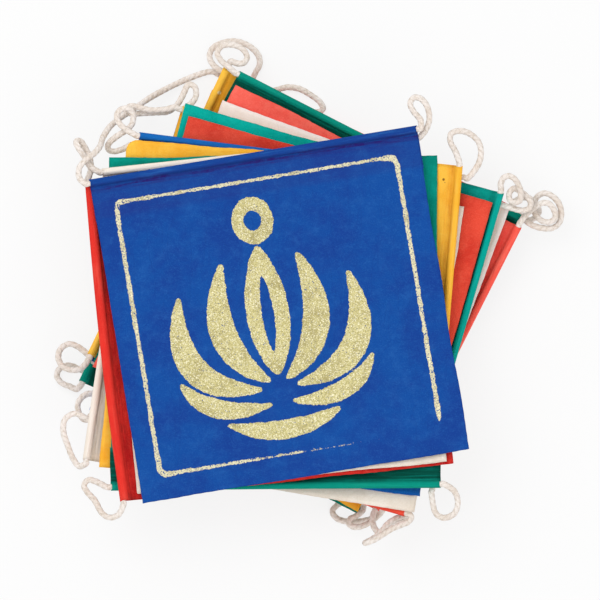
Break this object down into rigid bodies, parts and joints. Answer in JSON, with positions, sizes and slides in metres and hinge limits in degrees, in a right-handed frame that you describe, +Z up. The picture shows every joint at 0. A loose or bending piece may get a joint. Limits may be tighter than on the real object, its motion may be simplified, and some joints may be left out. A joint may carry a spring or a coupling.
{
  "type": "tibetan prayer flag string",
  "caption": "String of square paper-cloth prayer flags on one cotton cord through their hems, gathered into a flat stack that fans out by turns.",
  "frame": {"origin": "on the lowest flag's underside, near the middle of the stack, at table level", "axes": "+Z up out of the stack; +X to the right and +Y away, seen from above with the top flag's hem at the far side"},
  "size_m": [0.2499, 0.2485, 0.0528],
  "materials": {
    "flag_blue": "matte handmade fibre paper, deep blue",
    "flag_white": "matte handmade fibre paper, undyed cream white",
    "flag_red": "matte handmade fibre paper, red",
    "flag_green": "matte handmade fibre paper, teal green",
    "flag_yellow": "matte handmade fibre paper, warm yellow",
    "cord": "soft twisted cotton, off-white"
  },
  "bodies": {
    "root": {"flag_01_yellow": "flag_yellow", "flag_02_green": "flag_green", "flag_03_red": "flag_red", "flag_04_white": "flag_white", "flag_05_blue": "flag_blue", "flag_06_yellow": "flag_yellow", "flag_07_green": "flag_green", "flag_08_red": "flag_red", "flag_09_white": "flag_white", "flag_10_blue": "flag_blue", "flag_11_yellow": "flag_yellow", "flag_12_green": "flag_green", "flag_13_red": "flag_red", "flag_14_white": "flag_white", "flag_15_blue": "flag_blue", "flag_16_yellow": "flag_yellow", "flag_17_green": "flag_green", "flag_18_red": "flag_red", "flag_19_white": "flag_white", "flag_20_blue": "flag_blue", "cord_start": "cord", "cord_20_19": "cord", "cord_19_18": "cord", "cord_18_17": "cord", "cord_17_16": "cord", "cord_16_15": "cord", "cord_15_14": "cord", "cord_14_13": "cord", "cord_13_12": "cord", "cord_12_11": "cord", "cord_11_10": "cord", "cord_10_09": "cord", "cord_09_08": "cord", "cord_08_07": "cord", "cord_07_06": "cord", "cord_06_05": "cord", "cord_05_04": "cord", "cord_04_03": "cord", "cord_03_02": "cord", "cord_02_01": "cord", "cord_end": "cord"}
  },
  "joints": []
}
